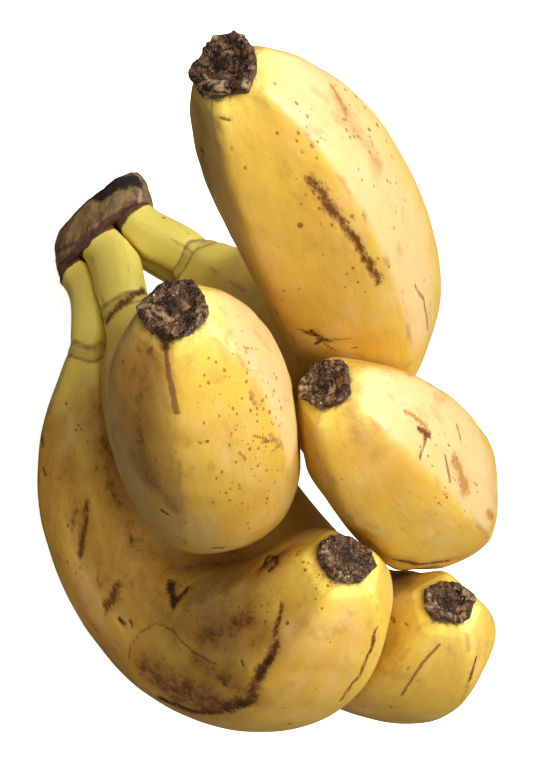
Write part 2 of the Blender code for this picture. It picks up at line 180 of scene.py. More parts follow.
# Marks of each fruit: kind, width in mm, strength, and the photo's pixels that it runs through.
# Kinds: dark is black and dry, bruise is red-brown, scuff is a grey-brown haze, which on the
# peel is painted shadow where one fruit tucks under another, tan is healed corky skin, line is
# a fine scratch, the broad brown cast is partly brown mottling and partly painted shade on the
# shaded sides and between the fruits, the pale cream cast is a painted highlight on the facets
# that face the key light, speckle is a field where small specks crowd
MARKS = {
    "banana_a": (
        ("bruise", 4.6, 1, (311, 180), (322, 192), (334, 210)),
        ("bruise", 3.2, 1, (322, 192), (345, 224), (361, 250), (372, 268), (379, 284)),
        ("dark", 0.8, 0.8, (340, 218), (352, 238), (366, 262), (372, 274)),
        ("speckle", 9.0, 0.6, (318, 190), (350, 240), (372, 280)),
        ("dark", 2.6, 1, (305, 333), (318, 338), (330, 342)),
        ("dark", 1.8, 1, (312, 331), (320, 339), (316, 345)),
        ("line", 1.2, 1, (296, 328), (322, 337)),
        ("line", 1.1, 1, (328, 341), (350, 339)),
        ("line", 1.0, 1, (315, 338), (335, 350)),
        ("dark", 1.3, 1, (354, 349), (357, 349)),
        ("tan", 2.2, 1, (331, 86), (338, 98), (345, 114)),
        ("speckle", 15.0, 0.7, (350, 118), (372, 150), (390, 200)),
        ("dark", 1.2, 1, (222, 118), (229, 120)),
        ("dark", 0.9, 1, (301, 152), (303, 154)),
        ("dark", 0.8, 1, (320, 137), (322, 138)),
        ("bruise", 1.6, 1, (200, 151), (203, 153)),
        ("speckle", 8.0, 0.5, (300, 120), (320, 160)),
        # painted shade on the left facet, which faces away from the key light
        ("smudge_and_shade", 7.5, 0.95, (200, 112), (203, 167), (218, 218), (230, 243)),
        # painted highlight on the right facets, where the key light falls
        ("painted_highlight", 32.0, 1, (262, 75), (320, 110), (362, 170), (392, 250), (400, 330)),
        ("smudge_and_shade", 6.0, 0.8, (335, 95), (356, 130), (378, 165)),
        ("line", 1.0, 1, (414, 285), (424, 300), (428, 330)),
    ),
    "banana_b": (
        ("speckle", 14.0, 1.4, (240, 385), (258, 410), (262, 442)),
        ("tan", 1.6, 1, (250, 392), (256, 404)),
        ("tan", 1.5, 1, (270, 434), (280, 444), (272, 452)),
        ("tan", 1.2, 1, (240, 452), (246, 460)),
        ("speckle", 9.0, 0.6, (235, 480), (255, 520)),
        ("line", 0.9, 1, (255, 436), (268, 441)),
        ("line", 0.8, 1, (262, 444), (274, 440)),
        ("dark", 2.6, 1, (163, 512), (168, 515)),
        ("dark", 2.8, 1, (214, 549), (223, 549)),
        ("tan", 1.6, 1, (284, 512), (290, 500), (297, 486)),
        ("bruise", 1.3, 1, (199, 443), (201, 444)),
        ("bruise", 1.2, 1, (136, 441), (138, 443)),
        ("smudge_and_shade", 7.0, 1.2, (134, 455), (150, 480), (175, 508)),
        ("bruise", 3.2, 1, (106, 322), (120, 304), (134, 294), (148, 290)),
        ("dark", 2.0, 1, (136, 293), (146, 291)),
        ("dark", 3.6, 1, (156, 328), (178, 328)),
        ("dark", 3.2, 1, (162, 333), (166, 348), (170, 333)),
        ("line", 1.5, 1, (166, 348), (171, 380), (177, 412)),
        # painted shade down the left side, away from the key light
        ("smudge_and_shade", 15.0, 1.2, (150, 350), (142, 380), (140, 430), (150, 480)),
        # painted highlight on the right side, where the key light falls
        ("painted_highlight", 24.0, 1, (215, 290), (250, 310), (278, 370), (285, 430)),
        ("speckle", 8.0, 0.6, (262, 470), (268, 500)),
    ),
    "banana_c": (
        ("bruise", 3.0, 1.1, (420, 430), (430, 435)),
        ("dark", 1.9, 1, (427, 434), (424, 446), (420, 458)),
        ("tan", 2.2, 1, (405, 412), (415, 418), (426, 426)),
        ("line", 1.3, 1, (445, 455), (448, 468), (450, 481)),
        ("tan", 5.0, 1, (454, 460), (460, 472), (466, 489)),
        ("line", 1.1, 1, (457, 425), (461, 440)),
        ("tan", 3.6, 1, (486, 512), (493, 518)),
        ("bruise", 3.6, 1, (395, 560), (420, 565), (450, 562)),
        ("speckle", 12.0, 0.6, (430, 450), (470, 500)),
        # painted shade along the lower facets, where this fruit meets the one below
        ("smudge_and_shade", 7.0, 0.8, (372, 552), (420, 566), (462, 558)),
        # painted highlight on the top and right, where the key light falls
        ("painted_highlight", 24.0, 1, (360, 370), (415, 390), (460, 440), (485, 500)),
        ("smudge_and_shade", 7.0, 0.7, (456, 466), (468, 486)),
    ),
    "banana_d": (
        ("bruise", 3.0, 1, (282, 606), (278, 620), (274, 634)),
        ("bruise", 4.4, 1, (277, 643), (266, 664), (255, 682)),
        ("dark", 3.2, 1, (270, 657), (258, 679)),
        ("bruise", 5.0, 1, (222, 706), (250, 700), (256, 685)),
        ("dark", 4.4, 1, (226, 711), (238, 706), (250, 702)),
        ("dark", 2.2, 1, (158, 698), (175, 708), (200, 713), (222, 712)),
        ("bruise", 4.2, 1, (162, 700), (190, 711), (222, 709)),
        ("speckle", 14.0, 0.4, (60, 440), (55, 500), (75, 570)),
        ("bruise", 4.2, 1, (262, 566), (276, 556)),
        ("dark", 2.2, 1, (263, 565), (268, 556), (276, 556), (278, 565), (270, 570)),
        ("smudge_and_shade", 9.0, 1.4, (258, 572), (282, 556)),
        ("bruise", 3.4, 1, (86, 502), (84, 530), (80, 556)),
        ("bruise", 3.4, 0.8, (76, 512), (72, 530)),
        ("smudge_and_shade", 9.0, 1.15, (72, 515), (82, 530)),
        ("bruise", 5.6, 1, (117, 586), (112, 600), (106, 608)),
        ("smudge_and_shade", 10.0, 1.1, (100, 580), (118, 600)),
        ("dark", 2.6, 1, (169, 580), (172, 594), (174, 607)),
        ("dark", 2.6, 1, (188, 587), (180, 597), (174, 607)),
        ("dark", 3.8, 1, (172, 596), (179, 599)),
        ("bruise", 4.2, 1, (170, 584), (174, 604), (186, 590)),
        ("dark", 2.6, 1, (119, 620), (124, 624)),
        ("dark", 2.2, 1, (129, 620), (131, 626)),
        ("dark", 1.3, 1, (241, 660), (243, 666)),
        ("dark", 1.2, 1, (199, 684), (202, 689)),
        ("dark", 1.1, 1, (222, 684), (228, 687)),
        ("line", 1.0, 0.9, (128, 660), (132, 645), (140, 633), (157, 623),
         (173, 630), (193, 653), (217, 665)),
        ("line", 0.8, 0.8, (173, 630), (180, 648), (186, 662)),
        ("smudge_and_shade", 13.0, 1.4, (200, 638), (225, 628), (250, 618)),
        ("smudge_and_shade", 19.0, 1.5, (145, 668), (175, 690), (215, 702)),
        ("smudge_and_shade", 13.0, 1.3, (195, 660), (225, 680), (245, 690)),
        ("smudge_and_shade", 9.0, 1.0, (228, 585), (250, 570), (268, 560)),
        ("smudge_and_shade", 8.0, 1.0, (250, 640), (268, 632)),
        ("smudge_and_shade", 12.0, 0.9, (152, 570), (175, 590), (200, 600)),
        ("bruise", 2.2, 1, (42, 430), (43, 446)),
        ("bruise", 1.8, 1, (43, 468), (44, 474)),
        ("bruise", 1.8, 1, (376, 628), (371, 650), (362, 672), (341, 702)),
        ("speckle", 14.0, 0.6, (180, 590), (250, 620)),
        ("speckle", 8.0, 0.6, (290, 560), (320, 590)),
        # painted shade on the left flank, away from the key light
        ("smudge_and_shade", 16.0, 1.0, (50, 430), (46, 500), (60, 560), (90, 620), (130, 672)),
        # painted shade on the inner side, under the fruit in front
        ("smudge_and_shade", 17.0, 1.2, (98, 410), (108, 480), (134, 545), (180, 568), (228, 564)),
        ("smudge_and_shade", 26.0, 1.0, (110, 560), (150, 600), (200, 640)),
        ("smudge_and_shade", 16.0, 1.1, (70, 470), (85, 540), (110, 580)),
    ),
    "banana_e": (
        ("line", 1.0, 1, (402, 695), (413, 677), (425, 660), (440, 645)),
        ("dark", 1.7, 1, (470, 680), (473, 668), (476, 658)),
        ("bruise", 1.8, 1, (391, 619), (394, 622)),
        ("dark", 1.2, 1, (404, 623), (407, 625)),
        ("dark", 1.1, 1, (389, 706), (391, 708)),
        # these two rows paint the shadow at the upper edge, where this fruit tucks under its
        # neighbours
        ("scuff_and_shadow", 7.0, 0.9, (384, 572), (396, 577), (410, 584)),
        ("smudge_and_shade", 8.0, 0.7, (386, 562), (400, 590)),
    ),
}
CROWN_MARKS = (
    ("dark", 5.4, 1.5, (100, 196), (113, 185), (126, 181), (137, 181)),
    ("bruise", 1.8, 1, (60, 264), (82, 251), (100, 238), (122, 219), (136, 202)),
    ("bruise", 3.2, 0.8, (56, 250), (76, 244), (95, 230)),
    ("tan", 2.4, 1, (139, 173), (141, 188), (140, 203)),
    ("scuff_and_shadow", 7.0, 1, (70, 232), (95, 208), (125, 192)),
)
MARK_KINDS = ("dark", "bruise", "scuff_and_shadow", "tan", "line", "smudge_and_shade", "painted_highlight", "speckle")
MARK_STEP_PIXELS = 3.0

# How a mark spreads round its path: its reach as a share of its width, and how far, in mm, its
# edge strays
MARK_REACH = 0.7
STRAY_SIZE = 2.6
STRAY_LEAST = 0.12
STRAY_PER_WIDTH = 0.16
STRAY_MOST = 0.9

# Low relief of the peel in mm: noise as (height, bump size), rings round the neck as (place,
# width, height), creases at the tip, and how far each kind of mark stands out
DENTS = ((0.22, 13.0), (0.10, 5.0))
CREST_HEIGHT = 0.16
CREST_WIDTH = 1.6
NECK_RELIEF = ((-1.2, 0.6, -0.14), (0.3, 1.1, 0.16), (1.8, 0.7, -0.12))
NECK_STRAY = 1.3
TIP_CREASES = 17
TIP_CREASE_HEIGHT = 0.03
TIP_CREASE_REACH = 3.5
MARK_HEIGHTS = {"dark": -0.22, "bruise": -0.14, "tan": 0.10}
# How far in mm the painted highlight fades across the two ridges of its facet
PAINTED_HIGHLIGHT_FADE = 1.2

# Brown rings where the stalk meets the fruit: how far past the neck, how wide, how strong
NECK_RINGS = ((-0.9, 0.45, 0.8), (0.4, 1.6, 0.8), (1.8, 0.5, 0.8))


@dataclass
class Scar:
    """A dried blossom end: sizes in mm, and corners as (degrees round the tip, reach)."""

    width: float
    rise: float
    hollow: float
    knob: float
    corners: tuple


SCARS = {
    "banana_a": Scar(
        width=0.92, rise=2.0, hollow=0.7, knob=0.3,
        corners=((176, 1.32), (127, 1.08), (49, 1.30), (336, 1.12), (284, 1.18)),
    ),
    "banana_b": Scar(
        width=0.95, rise=1.8, hollow=0.7, knob=0.6,
        corners=((315, 1.22), (255, 0.88), (199, 1.18), (129, 1.05), (77, 1.08)),
    ),
    "banana_c": Scar(
        width=0.80, rise=1.8, hollow=0.8, knob=0.9,
        corners=((346, 1.24), (258, 1.05), (194, 1.18), (119, 1.22)),
    ),
    "banana_d": Scar(
        width=0.84, rise=1.6, hollow=0.3, knob=0.2,
        corners=((119, 1.20), (68, 1.10), (281, 1.20), (331, 1.05)),
    ),
    "banana_e": Scar(
        width=0.88, rise=1.6, hollow=1.0, knob=0.7,
        corners=((147, 1.22), (96, 1.08), (289, 1.18), (220, 0.84), (35, 0.84)),
    ),
}
SCAR_SIDES = 180
SCAR_RINGS = 84
SCAR_SHARPNESS = 4.2
SCAR_LOBES = 0.09
SCAR_CORNER_WIDTH = 0.3

# Relief of a scar: folds round its rim and swirls inside as (how many, height in mm), lumps and
# flakes as (height, size) in mm
SCAR_FOLDS = (13, 0.10)
SCAR_SWIRLS = (24, 0.07)
SCAR_LUMPS = (0.46, 2.4)
SCAR_FLAKES = (0.30, 1.5)

# The peel rounds in over its last few mm, to this share of the scar's width
TIP_ROUNDED = 2.6
TIP_SHARE = 0.8


def smooth_through(points, at):
    """Values of a smooth curve without overshoot through (place, value) points."""
    x = np.array([point[0] for point in points], float)
    y = np.array([point[1] for point in points], float)
    step = np.diff(x)
    slope = np.diff(y) / step
    tangent = np.zeros_like(y)
    same_way = slope[:-1] * slope[1:] > 0
    inner = 2 * slope[:-1] * slope[1:] / np.where(same_way, slope[:-1] + slope[1:], 1.0)
    tangent[1:-1] = np.where(same_way, inner, 0.0)
    tangent[0] = slope[0]
    tangent[-1] = slope[-1]
    at = np.clip(at, x[0], x[-1])
    k = np.clip(np.searchsorted(x, at, side="right") - 1, 0, len(step) - 1)
    u = (at - x[k]) / step[k]
    return (
        (1 + 2 * u) * (1 - u) ** 2 * y[k]
        + u * (1 - u) ** 2 * step[k] * tangent[k]
        + u**2 * (3 - 2 * u) * y[k + 1]
        + u**2 * (u - 1) * step[k] * tangent[k + 1]
    )


def soft_step(value, low, high):
    """0 below low, 1 above high, and an S curve between."""
    share = np.clip((value - low) / (high - low), 0, 1)
    return share * share * (3 - 2 * share)


def grain(points, size, seed):
    """Smooth noise from -1 to 1 at points, with bumps of about the given size."""
    scaled = points / size
    base = np.floor(scaled).astype(np.int64)
    part = scaled - base
    part = part * part * (3 - 2 * part)
    total = np.zeros(len(points))
    for corner in product((0, 1), repeat=3):
        cell = (base + corner) @ np.array((73856093, 19349663, 83492791)) + seed * 7919
        mixed = (cell ^ (cell >> 13)) * 1274126177
        value = ((mixed ^ (mixed >> 16)) & 0xFFFF) / 32767.5 - 1
        total += value * np.prod(np.where(corner, part, 1 - part), axis=1)
    return total


def layered_grain(points, size, seed, layers=3):
    """Noise with finer layers added, each half as large and half as strong."""
    return sum(grain(points, size / 2**k, seed + k) / 2**k for k in range(layers)) / 1.5


class Spine:
    """The middle line of one banana from the crown to its tip, with its half width."""

    def __init__(self, fruit):
        heading = radians(fruit.heading)
        lift = radians(fruit.lift)
        roll = radians(fruit.roll)
        aim = Vector((cos(lift) * cos(heading), cos(lift) * sin(heading), sin(lift)))
        level = aim.cross(Vector((0, 0, 1))).normalized()
        hinge = (cos(roll) * level + sin(roll) * level.cross(aim)).normalized()
        neck = Vector(fruit.neck)
        rows = self.stalk_side(neck, aim, hinge, fruit) + self.fruit_side(neck, aim, hinge, fruit)
        self.fruit = fruit
        self.place = np.array([row[0] for row in rows])
        self.point = np.array([row[1][:] for row in rows])
        self.aim = np.array([row[2][:] for row in rows])
        self.hinge = np.array([row[3][:] for row in rows])
        self.half = self.half_widths()

    def half_widths(self):
        """Half the width at each place: the stalk flares a little towards the crown."""
        half = self.fruit.girth / 2
        stalk_half = self.fruit.stalk_width / 2
        back = np.clip(self.place / self.place[0], 0, 1)
        stalk = stalk_half * (1 + STALK_FLARE * back**2)
        outline = ((0.0, stalk_half / half), *FRUIT_OUTLINE)
        share = np.clip(self.place / self.fruit.length, 0, 1)
        past_neck = share / SHOULDER_AT
        swell = 1 + self.fruit.shoulder * past_neck * np.exp(1 - past_neck)
        fruit = half * swell * smooth_through(outline, share)
        return np.where(self.place < 0, stalk, fruit)

    @staticmethod
    def stalk_side(neck, aim, hinge, fruit):
        """Rows of a smooth curve from the crown's underside to the neck."""
        long_axis, deep_axis, growth = crown_frame()
        root = CROWN_FOOT + long_axis * fruit.root[0] + deep_axis * fruit.root[1] + growth * GAP
        pull = (neck - root).length
        share = np.linspace(0, 1, STALK_STEPS + 1)
        points = []
        aims = []
        for u in share:
            points.append(
                root * (1 + 2 * u) * (1 - u) ** 2
                + growth * pull * u * (1 - u) ** 2
                + neck * u * u * (3 - 2 * u)
                + aim * pull * u * u * (u - 1)
            )
            aims.append(
                (
                    (neck - root) * 6 * u * (1 - u)
                    + growth * pull * (1 - u) * (1 - 3 * u)
                    + aim * pull * u * (3 * u - 2)
                ).normalized()
            )
        rows = []
        place = 0.0
        for k in range(STALK_STEPS - 1, -1, -1):
            place -= (points[k + 1] - points[k]).length
            hinge = (hinge - aims[k] * hinge.dot(aims[k])).normalized()
            rows.append((place, points[k], aims[k], hinge))
        return rows[::-1]

    @staticmethod
    def fruit_side(neck, aim, hinge, fruit):
        """Rows from the neck to the tip."""
        middle = (np.arange(SPINE_STEPS) + 0.5) / SPINE_STEPS
        weight = np.exp(-(((middle - fruit.bend_at) / BEND_SPREAD) ** 2)) + BEND_FLOOR
        turns = radians(fruit.bend) * weight / weight.sum()
        twist = radians(fruit.twist) / SPINE_STEPS
        step = fruit.length / SPINE_STEPS
        point = neck.copy()
        rows = [(0.0, point, aim, hinge)]
        for k in range(SPINE_STEPS):
            bent = Matrix.Rotation(turns[k], 3, hinge) @ aim
            point = point + (aim + bent) * step / 2
            aim = bent
            hinge = Matrix.Rotation(twist, 3, aim) @ hinge
            hinge = (hinge - aim * hinge.dot(aim)).normalized()
            rows.append(((k + 1) * step, point, aim, hinge))
        return rows

    def at(self, places):
        """Points, aims, hinges and half widths at places along the spine."""
        def read(values):
            if values.ndim == 1:
                return np.interp(places, self.place, values)
            return np.stack([np.interp(places, self.place, v) for v in values.T], axis=1)

        aim = read(self.aim)
        aim /= np.linalg.norm(aim, axis=1)[:, None]
        hinge = read(self.hinge)
        hinge -= aim * (hinge * aim).sum(1)[:, None]
        hinge /= np.linalg.norm(hinge, axis=1)[:, None]
        return read(self.point), aim, hinge, read(self.half)

    def depth(self, points):
        """How far points are outside this banana's mean round surface."""
        near = np.full(len(points), np.inf)
        stride = PRESS_SPINE_STRIDE
        for centre, half in zip(self.point[::stride], self.half[::stride]):
            near = np.minimum(near, np.linalg.norm(points - centre, axis=1) - half)
        return near


def crown_frame():
    """The crown's long axis, its depth axis and the way that the stalks grow from it."""
    growth = CROWN_GROWTH_AXIS.normalized()
    long_axis = (CROWN_LONG_AXIS - growth * CROWN_LONG_AXIS.dot(growth)).normalized()
    return long_axis, growth.cross(long_axis), growth


def facet_outlines(angles, sharpness, ridges):
    """Half width at each place and angle of rounded five-sided outlines, mean 1."""
    half_facet = np.diff(np.append(ridges, ridges[0] + 2 * pi)) / 2
    normals = ridges + half_facet
    reach = np.cos(angles[:, None] - normals[None]) / np.cos(half_facet)[None]
    reach = np.clip(reach, 1e-9, None)[None]
    power = sharpness[:, None, None]
    outline = (reach**power).sum(2) ** (-1 / sharpness[:, None])
    return outline / outline.mean(1)[:, None]


def round_angles(ridges, per_facet):
    """Angles round a ring, with a point on each ridge and others evenly between."""
    ends = np.append(ridges, ridges[0] + 2 * pi)
    parts = [np.linspace(a, b, per_facet, endpoint=False) for a, b in zip(ends, ends[1:])]
    return np.concatenate(parts)


def pressed_share(points, centres, own_half, others):
    """How far out of its middle line each point may stay where a neighbour presses on it."""
    outward = points - centres
    reach = np.linalg.norm(outward, axis=1)
    free = np.ones(len(points))
    for other in others:
        low = np.zeros(len(points))
        high = np.ones(len(points))
        for _ in range(PRESS_HALVINGS):
            middle = (low + high) / 2
            spot = centres + outward * middle[:, None]
            room = other.depth(spot) - (reach * middle - own_half)
            clear = room >= PRESS_ROOM
            low = np.where(clear, middle, low)
            high = np.where(clear, high, middle)
        held = np.where(low > 0.9999, UNPRESSED, low)
        blend = -PRESS_SOFTNESS * np.logaddexp(
            -reach * free / PRESS_SOFTNESS, -reach * held / PRESS_SOFTNESS
        )
        free = np.minimum(free, blend / reach)
    return free


def spread_grid(coarse, rings, sides):
    """A grid of values read at every PRESS_STRIDE-th ring and side, spread to them all."""
    ring_at = np.append(np.arange(0, rings - 1, PRESS_STRIDE), rings - 1)
    side_at = np.arange(0, sides + 1, PRESS_STRIDE)
    closed = np.concatenate([coarse, coarse[:, :1]], axis=1)
    across = np.stack([np.interp(np.arange(sides), side_at, row) for row in closed])
    full = np.stack([np.interp(np.arange(rings), ring_at, column) for column in across.T], axis=1)
    for _ in range(PRESS_SMOOTHINGS):
        full = (full * 2 + np.roll(full, 1, 1) + np.roll(full, -1, 1)) / 4
        full[1:-1] = (full[1:-1] * 2 + full[:-2] + full[2:]) / 4
    return full


def grid_normals(grid):
    """Outward unit normals of a grid of rings that run round the surface."""
    along = np.gradient(grid, axis=0)
    around = np.roll(grid, -1, 1) - np.roll(grid, 1, 1)
    normal = np.cross(around, along)
    length = np.linalg.norm(normal, axis=2)
    return normal / np.maximum(length, 1e-9)[..., None]


class Peel:
    """The skin of one banana as a fine grid, with the fields that its material reads."""

    def __init__(self, name, spines):
        self.name = name
        self.spine = spines[name]
        self.seed = 11 * (list(FRUITS).index(name) + 1)
        others = [spine for key, spine in spines.items() if key != name]
        self.lay_grid(others)
        self.measure()
        self.fields = mark_fields(self.grid, MARKS[name], self.seed + 60)
        # The painted highlight stays on the one facet where it is strongest, the one facing the
        # key light
        self.fields["painted_highlight"] = self.kept_to_facet(self.fields["painted_highlight"])
        self.add_relief()

    def lay_grid(self, others):
        """Rings of points along the spine, drawn in where other fruits press."""
        fruit = self.spine.fruit
        self.ridges = np.radians(fruit.ridges)
        self.angles = round_angles(self.ridges, SIDES_PER_FACET)
        share = np.linspace(0, 1, FRUIT_RINGS)
        share = share - RINGS_CROWDED_AT_ENDS * np.sin(2 * pi * share) / (2 * pi)
        stalk = np.linspace(self.spine.place[0], 0, STALK_RINGS, endpoint=False)
        self.places = np.concatenate([stalk, share * fruit.length])
        centre, aim, hinge, half = self.spine.at(self.places)
        side = np.cross(aim, hinge)
        sharpness = smooth_through(RIDGE_SHARPNESS, self.places / fruit.length)
        sharpness = sharpness * RIDGES_WORN.get(self.name, RIDGES_WORN_ELSE)
        shape = facet_outlines(self.angles, sharpness, self.ridges)
        shape[self.places < 0] = 1 + (shape[self.places < 0] - 1) * STALK_FACETS
        last = 1 - soft_step(fruit.length - self.places, 0, TIP_ROUNDED)
        half = half * (1 - (1 - TIP_SHARE * SCARS[self.name].width) * last)
        turn_x = np.cos(self.angles)[None, :, None] * hinge[:, None]
        turn_y = np.sin(self.angles)[None, :, None] * side[:, None]
        around = (turn_x + turn_y) * (half[:, None] * shape)[..., None]
        rings = len(self.places)
        sides = len(self.angles)
        pick = np.append(np.arange(0, rings - 1, PRESS_STRIDE), rings - 1)
        felt = around[pick][:, ::PRESS_STRIDE]
        middles = np.repeat(centre[pick][:, None], felt.shape[1], axis=1)
        halves = np.repeat(half[pick][:, None], felt.shape[1], axis=1)
        free = pressed_share(
            (middles + felt).reshape(-1, 3), middles.reshape(-1, 3), halves.ravel(), others
        )
        free = spread_grid(free.reshape(felt.shape[:2]), rings, sides)
        self.grid = centre[:, None] + around * free[..., None]
        self.half = half

    def measure(self):
        """Flat lists of where each point is along, round and out from the fruit's middle."""
        rings, sides = self.grid.shape[:2]
        self.along = np.repeat(self.places, sides)
        self.turn = np.tile(self.angles, rings)
        half = np.repeat(self.half, sides)
        offset = 200.0 * self.seed
        self.straight = np.stack(
            [half * np.cos(self.turn) + offset, half * np.sin(self.turn), self.along], axis=1
        )
        gap = np.abs((self.turn[:, None] - self.ridges[None] + pi) % (2 * pi) - pi)
        self.off_ridge = gap.min(1) * half
        self.to_tip = self.spine.fruit.length - self.along

    def kept_to_facet(self, field):
        """A field kept to the facet where it is strongest, fading across its two ridges."""
        sides = self.grid.shape[1]
        ends = np.append(self.ridges, self.ridges[0] + 2 * pi)
        facet = np.clip(np.searchsorted(ends, self.turn, side="right") - 1, 0, len(ends) - 2)
        main = np.bincount(facet, weights=field, minlength=len(ends)).argmax()
        past_first = (self.turn - ends[main] + pi) % (2 * pi) - pi
        to_second = (ends[main + 1] - self.turn + pi) % (2 * pi) - pi
        inside = np.minimum(past_first, to_second) * np.repeat(self.half, sides)
        return field * soft_step(inside, -PAINTED_HIGHLIGHT_FADE, PAINTED_HIGHLIGHT_FADE)

    def add_relief(self):
        """Moves the skin in and out by fractions of a millimetre."""
        spot = self.straight
        dents = sum(
            height * grain(spot, size, self.seed + k)
            for k, (height, size) in enumerate(DENTS)
        )
        crest = CREST_HEIGHT * np.exp(-((self.off_ridge / CREST_WIDTH) ** 2))
        crest *= (1 + grain(spot, 7.0, self.seed + 2)) * soft_step(self.along, 2, 20)
        creases = np.cos(self.turn * TIP_CREASES + 6 * grain(spot, 5.0, self.seed + 3))
        creases *= TIP_CREASE_HEIGHT * np.exp(-((self.to_tip / TIP_CREASE_REACH) ** 2))
        marked = sum(height * self.fields[kind] for kind, height in MARK_HEIGHTS.items())
        relief = dents * soft_step(self.along, -8, 10) + crest + creases + marked
        relief += self.neck_rings(NECK_RELIEF)
        relief *= soft_step(self.to_tip, -0.5, 1.5)
        self.grid = moved_out(self.grid, relief)

    def wobble(self):
        """How far the neck's brown rings stray along the fruit."""
        around = np.stack([np.cos(self.turn), np.sin(self.turn), self.turn * 0], axis=1) * 3
        return NECK_STRAY * grain(around, 2.6, self.seed + 5)

    def neck_rings(self, rings):
        """The sum of soft rings round the neck, given as (place, width, height)."""
        past = self.along - self.wobble()
        return sum(
            height * np.exp(-(((past - place) / wide) ** 2)) for place, wide, height in rings
        )

    def build(self, place, material):
        fields = {
            "off_ridge": self.off_ridge,
            "along": self.along,
            "to_tip": self.to_tip,
            "from_root": self.along - self.places[0],
            "neck_ring": self.neck_rings(NECK_RINGS),
            **self.fields,
        }
        name = "peel_" + self.name[-1]
        return mesh_object(name, self.grid, place, fields, self.straight, material)


def grid_faces(rings, sides):
    """Corners of the four-sided faces between rings that close round."""
    lower = np.arange(rings - 1)[:, None] * sides
    k = np.arange(sides)[None]
    after = (k + 1) % sides
    corners = (lower + k, lower + after, lower + sides + after, lower + sides + k)
    return np.stack(corners, axis=2).reshape(-1, 4)


def moved_out(grid, move):
    """The grid with each point moved out by its own distance."""
    return grid + grid_normals(grid) * move.reshape(grid.shape[:2])[..., None]


def mesh_object(name, grid, place, fields, straight, material):
    """A closed object from a grid of rings in the layout's mm, kept above the surface."""
    rings, sides = grid.shape[:2]
    matrix = np.array(place)
    points = grid.reshape(-1, 3) @ matrix[:3, :3].T + matrix[:3, 3]
    points[:, 2] = np.maximum(points[:, 2], 0.0)
    ends = [list(range(sides))[::-1], list(range((rings - 1) * sides, rings * sides))]
    data = bpy.data.meshes.new(name)
    data.from_pydata(points.tolist(), [], grid_faces(rings, sides).tolist() + ends)
    for field, values in fields.items():
        layer = data.attributes.new(field, "FLOAT", "POINT")
        layer.data.foreach_set("value", np.asarray(values, np.float32))
    layer = data.attributes.new("straight", "FLOAT_VECTOR", "POINT")
    layer.data.foreach_set("vector", np.asarray(straight, np.float32).ravel())
    data.shade_smooth()
    data.materials.append(material)
    made = bpy.data.objects.new(name, data)
    bpy.context.scene.collection.objects.link(made)
    return made


def pixel_ray(pixel):
    """The line of sight through a pixel of the photograph, from the camera, in the layout."""
    scale = PIXELS_PER_MM * CAMERA_AWAY
    across = (pixel[0] - PHOTO_WIDTH / 2) / scale
    up = (PHOTO_HEIGHT / 2 - pixel[1]) / scale
    return Vector((0, 0, CAMERA_AWAY)), Vector((across, up, -1)).normalized()


def cast_path(tree, path):
    """Points on a surface under a line through photo pixels, a few pixels apart."""
    spots = []
    for start, end in zip(path, path[1:]):
        run = np.hypot(end[0] - start[0], end[1] - start[1])
        steps = max(int(run / MARK_STEP_PIXELS), 1)
        for k in range(steps + 1):
            share = k / steps
            pixel = [a + (b - a) * share for a, b in zip(start, end)]
            origin, direction = pixel_ray(pixel)
            spots.append(tree.ray_cast(origin, direction)[0])
    return spots


def mark_fields(grid, marks, seed):
    """How near each point of a grid is to the marks of each kind: 1 in the middle, 0 outside."""
    points = grid.reshape(-1, 3)
    tree = BVHTree.FromPolygons(points.tolist(), grid_faces(*grid.shape[:2]).tolist())
    fields = {kind: np.zeros(len(points)) for kind in MARK_KINDS}
    stray = [layered_grain(points, STRAY_SIZE, seed + k) for k in range(3)]
    stray = np.stack(stray, axis=1)
    for kind, width, strength, *path in marks:
        spots = [spot for spot in cast_path(tree, path) if spot is not None]
        if spots:
            far = min(STRAY_PER_WIDTH * width + STRAY_LEAST, STRAY_MOST)
            near = nearness(points + stray * far, np.array(spots), MARK_REACH * width)
            fields[kind] = np.maximum(fields[kind], near * strength)
    return fields


def nearness(points, spots, half_width):
    """1 on the line through the spots, falling to 0 half_width away from it."""
    low = spots.min(0) - half_width
    high = spots.max(0) + half_width
    inside = np.all((points > low) & (points < high), axis=1)
    near = np.zeros(len(points))
    close = points[inside]
    away = np.linalg.norm(close - spots[0], axis=1)
    for start, end in zip(spots, spots[1:]):
        run = end - start
        share = (close - start) @ run / max(run @ run, 1e-9)
        nearest = start + np.clip(share, 0, 1)[:, None] * run
        away = np.minimum(away, np.linalg.norm(close - nearest, axis=1))
    near[inside] = np.clip(1 - away / half_width, 0, 1)
    return near


